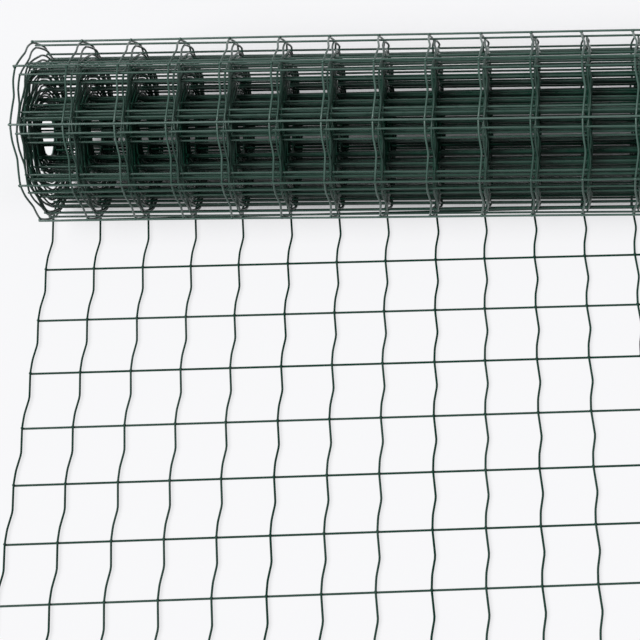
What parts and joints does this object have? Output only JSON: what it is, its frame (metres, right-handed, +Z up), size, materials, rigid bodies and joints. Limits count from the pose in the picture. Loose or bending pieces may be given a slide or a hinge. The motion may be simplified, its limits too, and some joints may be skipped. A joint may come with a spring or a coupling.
{
  "type": "roll of wire fencing",
  "caption": "Roll of coated welded mesh fencing lying on its side, wound round an open bore, with its loose end drawn out flat on the floor.",
  "frame": {"origin": "middle of the object's footprint, on the floor it lies on", "axes": "+X along the roll's axis and across the fence, +Y towards the back of the roll, away from the loose end, +Z up"},
  "size_m": [1.0312, 0.6872, 0.1914],
  "materials": {
    "coated_wire": "dark green plastic coating over galvanised steel wire, with a soft low gloss"
  },
  "bodies": {
    "root": {"fence_roll": "coated_wire", "outer_turn": "coated_wire", "loose_end": "coated_wire"}
  },
  "joints": []
}
